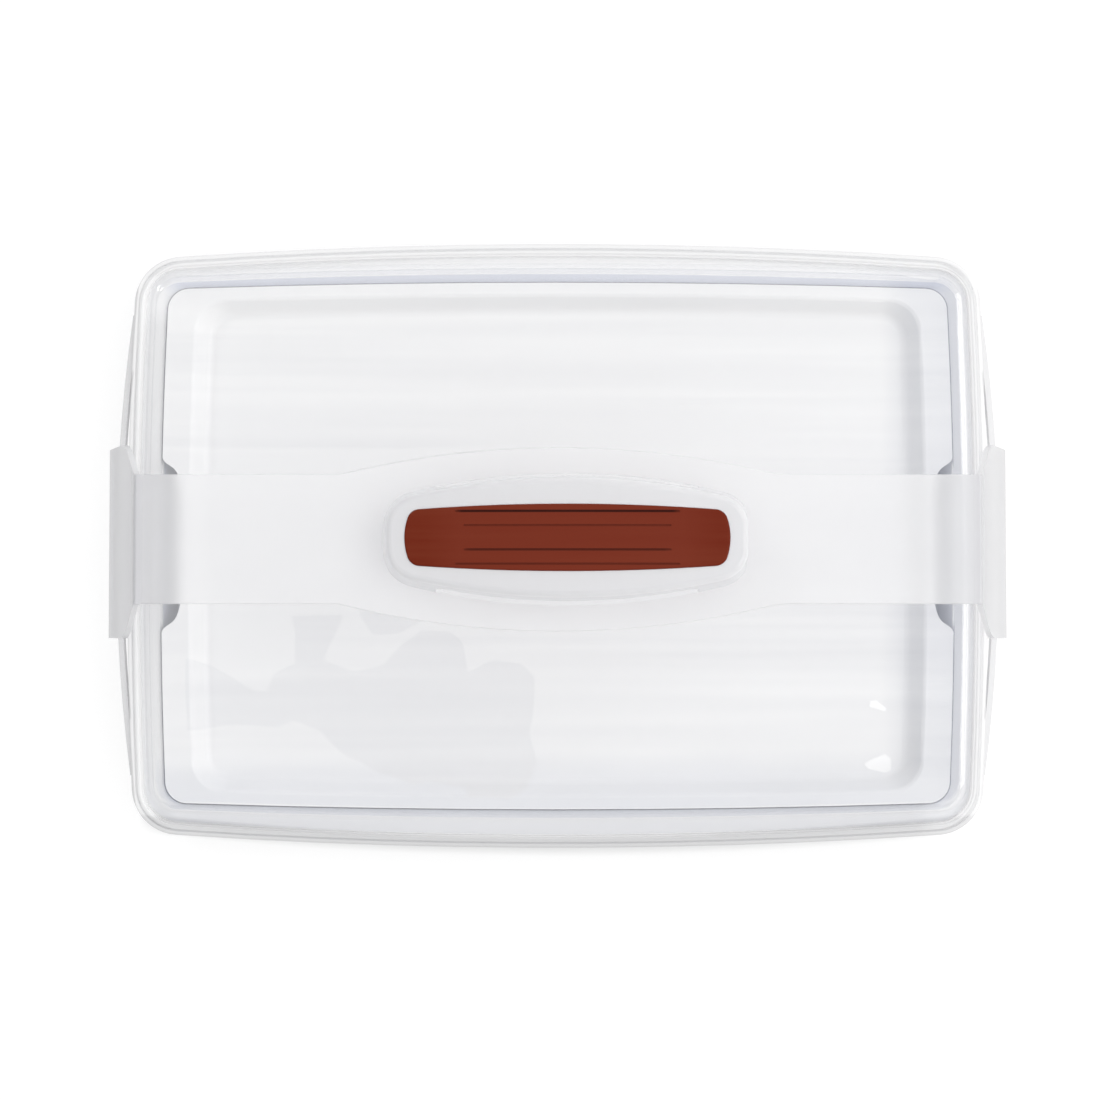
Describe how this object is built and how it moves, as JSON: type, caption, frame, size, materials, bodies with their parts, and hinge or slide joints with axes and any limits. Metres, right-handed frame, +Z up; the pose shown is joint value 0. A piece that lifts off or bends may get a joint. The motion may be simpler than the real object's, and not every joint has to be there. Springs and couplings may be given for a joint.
{
  "type": "cake carrier",
  "caption": "Rectangular cake carrier: shallow base tray, lift-out insert tray, deep clear lid and a carrying strap with a soft grip and hinged end clips.",
  "frame": {"origin": "middle of the base's foot, on the surface it stands on", "axes": "+X lengthwise towards the right clip, +Y towards the back long side, +Z up"},
  "size_m": [0.4506, 0.3042, 0.1209],
  "materials": {
    "base_plastic": "milky translucent moulded polypropylene, satin",
    "insert_plastic": "opaque white moulded polypropylene, satin",
    "lid_plastic": "clear moulded plastic, polished",
    "strap_plastic": "milky translucent moulded polypropylene, fine satin",
    "grip_rubber": "red-brown soft grip, satin, with lengthwise grooves"
  },
  "bodies": {
    "base": {"base_tray": "base_plastic"},
    "insert": {"insert_tray": "insert_plastic"},
    "lid": {"lid": "lid_plastic"},
    "strap": {"strap": "strap_plastic", "grip": "grip_rubber"},
    "left_clip": {"left_clip": "strap_plastic"},
    "right_clip": {"right_clip": "strap_plastic"}
  },
  "joints": [
    {"name": "lid_lift", "type": "slide", "parent": "base", "child": "lid", "axis": [0, 0, 1], "range_m": [0, 0.12]},
    {"name": "insert_lift", "type": "slide", "parent": "base", "child": "insert", "axis": [0, 0, 1], "range_m": [0, 0.02]},
    {"name": "strap_lift", "type": "slide", "parent": "lid", "child": "strap", "axis": [0, 0, 1], "range_m": [0, 0.06]},
    {"name": "left_clip_fold", "type": "hinge", "parent": "strap", "child": "left_clip", "pos_m": [-0.1988, 0, 0.0972], "axis": [0, 1, 0], "range_deg": [0, 100]},
    {"name": "right_clip_fold", "type": "hinge", "parent": "strap", "child": "right_clip", "pos_m": [0.1988, 0, 0.0972], "axis": [0, -1, 0], "range_deg": [0, 100]}
  ]
}
